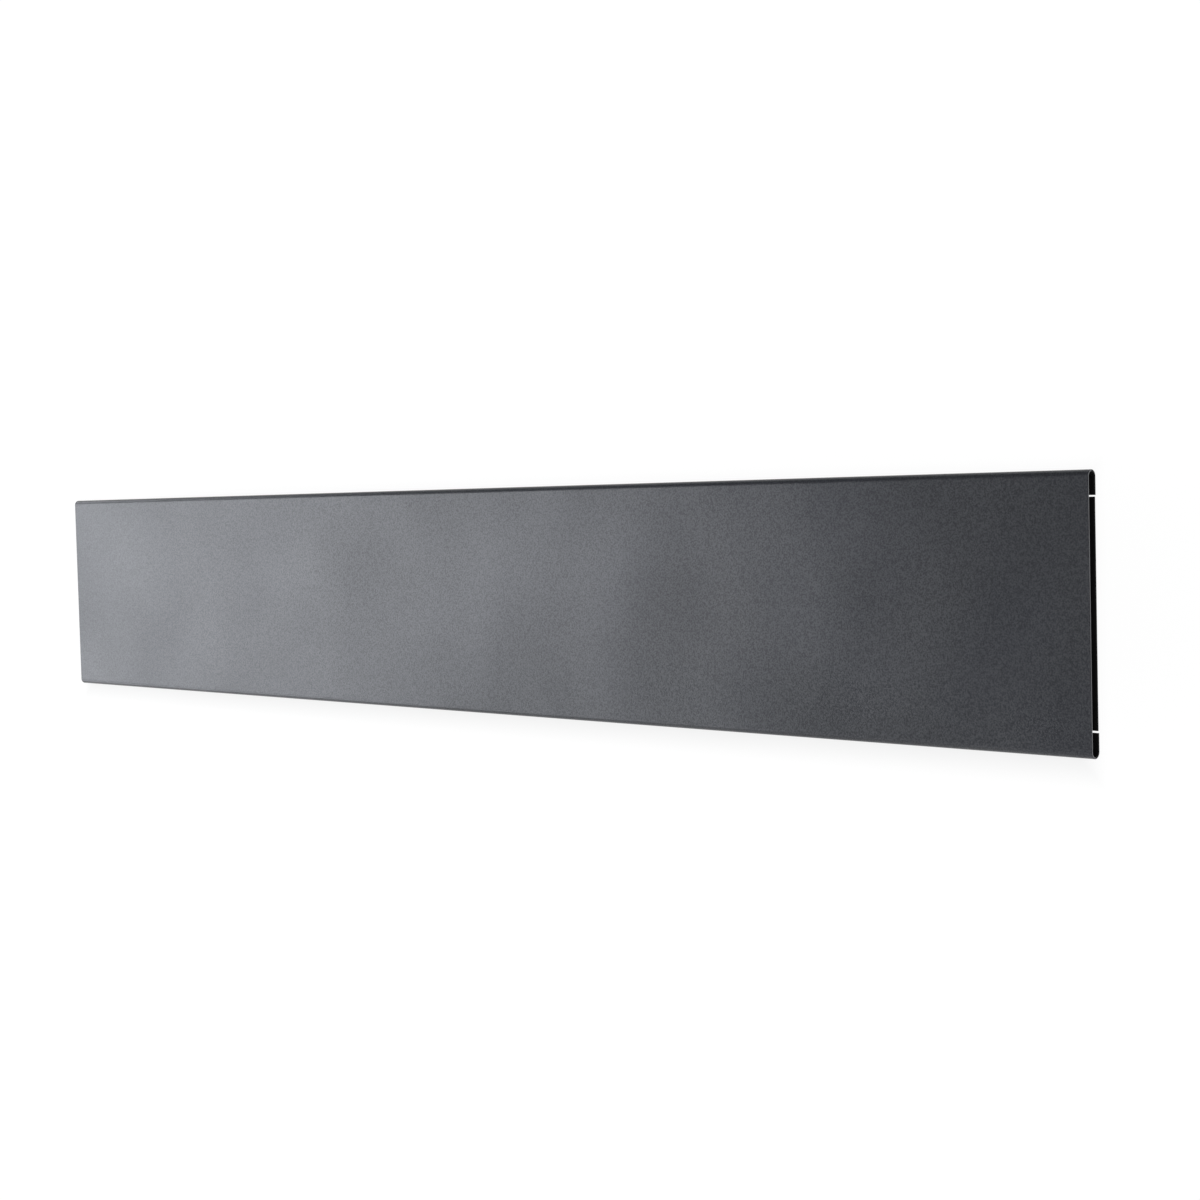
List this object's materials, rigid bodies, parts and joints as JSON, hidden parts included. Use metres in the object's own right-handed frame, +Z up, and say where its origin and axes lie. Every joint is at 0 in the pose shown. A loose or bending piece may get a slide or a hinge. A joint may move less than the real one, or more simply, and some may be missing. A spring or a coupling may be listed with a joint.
{
  "type": "wall-hung panel convector heater",
  "caption": "Low, wide wall-hung electric convector: a thin rolled-edge front panel floats before a slotted casing with finned element and end controls, on a mount it tilts from.",
  "frame": {"origin": "middle of the four wall screw holes, on the wall plane, at the front panel's mid-height", "axes": "+X along the panel to the right as seen from the room, +Y into the wall, +Z up"},
  "size_m": [1.4, 0.084, 0.22],
  "materials": {
    "panel_coat": "fine-textured powder coat",
    "inner_black": "matt black heat-resistant coat",
    "casing_coat": "matt powder coat",
    "zinc_steel": "bright zinc plate",
    "spring_steel": "blued spring steel",
    "cap_plastic": "fine texture",
    "control_plastic": "satin",
    "thermostat_case": "plain",
    "sheath_steel": "heat-tinted",
    "fin_aluminium": "mill finish",
    "ceramic": "unglazed ceramic",
    "nickel_brass": "plain",
    "board_laminate": "solder mask",
    "component_black": "plain",
    "lead_sleeve": "silicone sleeve",
    "lens_red": "clear tinted",
    "seal_rubber": "plain"
  },
  "bodies": {
    "wall_mount": {"left_wall_upright": "zinc_steel", "right_wall_upright": "zinc_steel", "wall_crossbar": "zinc_steel", "pivot_pins": "zinc_steel", "spring_clips": "spring_steel"},
    "heater": {"front_panel": "panel_coat", "heat_shield": "inner_black", "outlet_rail": "casing_coat", "inlet_rail": "casing_coat", "casing_back": "casing_coat", "left_hanger": "casing_coat", "right_hanger": "casing_coat", "panel_studs": "zinc_steel", "panel_nuts": "zinc_steel", "casing_rivets": "zinc_steel", "cap_screws": "zinc_steel", "support_rivets": "zinc_steel", "hanger_rivets": "zinc_steel", "left_element_support": "zinc_steel", "centre_element_support": "zinc_steel", "heat_barrier": "zinc_steel", "thermal_cutout": "zinc_steel", "left_end_cap": "cap_plastic", "right_end_cap": "cap_plastic", "switch_body": "control_plastic", "gland_body": "control_plastic", "gland_dome": "control_plastic", "gland_locknut": "control_plastic", "thermostat_body": "thermostat_case", "terminal_block": "thermostat_case", "board_standoffs": "thermostat_case", "element_tube": "sheath_steel", "element_fins": "fin_aluminium", "element_bushes": "ceramic", "terminal_beads": "ceramic", "terminal_pins": "nickel_brass", "earth_tab": "nickel_brass", "thermostat_nut": "nickel_brass", "control_board": "board_laminate", "board_parts": "component_black", "leads": "lead_sleeve", "pilot_lens": "lens_red", "gland_seal": "seal_rubber"},
    "knob": {"thermostat_knob": "control_plastic", "thermostat_shaft": "nickel_brass"},
    "rocker": {"switch_rocker": "control_plastic"}
  },
  "joints": [
    {"name": "heater_tilt", "type": "hinge", "parent": "wall_mount", "child": "heater", "pos_m": [0, -0.008, -0.062], "axis": [1, 0, 0], "range_deg": [0, 30]},
    {"name": "thermostat_turn", "type": "hinge", "parent": "heater", "child": "knob", "pos_m": [0.62, -0.0446, 0.04782], "axis": [1, 0, 0], "range_deg": [-135, 135]},
    {"name": "switch_rock", "type": "hinge", "parent": "heater", "child": "rocker", "pos_m": [0.6138, -0.0446, -0.01454], "axis": [0, 1, 0], "range_deg": [0, 16]}
  ]
}
